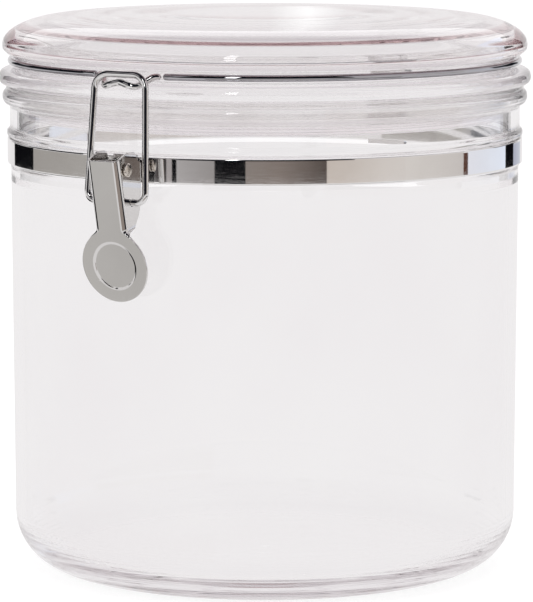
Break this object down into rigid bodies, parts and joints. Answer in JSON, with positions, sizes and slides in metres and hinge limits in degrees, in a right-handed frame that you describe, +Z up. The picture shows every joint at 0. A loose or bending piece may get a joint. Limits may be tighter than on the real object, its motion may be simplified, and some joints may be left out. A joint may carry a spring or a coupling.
{
  "type": "food canister",
  "caption": "Round clear canister with a hinged plug lid, a sealing ring, a steel neck band and a front wire clamp with a swinging lever.",
  "frame": {"origin": "centre of the flat underside", "axes": "+Z up through the lid, -Y towards the front clamp, +Y towards the hinge, +X to the right seen from the clamp"},
  "size_m": [0.1938, 0.215, 0.2032],
  "materials": {
    "clear_plastic": "clear, high gloss, moulded",
    "silicone": "clear translucent silicone, satin",
    "band_steel": "mirror-polished strip",
    "stamped_steel": "polished stamped sheet",
    "chrome_wire": "bright chromed wire"
  },
  "bodies": {
    "canister": {"canister_body": "clear_plastic", "steel_band": "band_steel", "latch_bracket": "stamped_steel", "lever_pivot_pin": "stamped_steel", "hinge_bracket": "stamped_steel", "hinge_pin": "stamped_steel"},
    "lid": {"lid_cover": "clear_plastic", "lid_plug": "clear_plastic", "lid_gasket": "silicone", "lid_wire_ring": "chrome_wire", "lid_catch": "chrome_wire", "hinge_tongue": "stamped_steel"},
    "lever": {"latch_lever": "stamped_steel"},
    "loop": {"clamp_loop": "chrome_wire"}
  },
  "joints": [
    {"name": "lid_hinge", "type": "hinge", "parent": "canister", "child": "lid", "pos_m": [0, 0.1015, 0.1861], "axis": [-1, 0, 0], "range_deg": [0, 105]},
    {"name": "lever_pivot", "type": "hinge", "parent": "canister", "child": "lever", "pos_m": [0, -0.1042, 0.1546], "axis": [-1, 0, 0], "range_deg": [0, 115]},
    {"name": "loop_swing", "type": "hinge", "parent": "lever", "child": "loop", "pos_m": [0, -0.1008, 0.143], "axis": [-1, 0, 0], "range_deg": [-150, 0]}
  ],
  "couplings": [
    {"joint": "loop_swing", "follows": "lever_pivot", "ratio": -1.3}
  ]
}
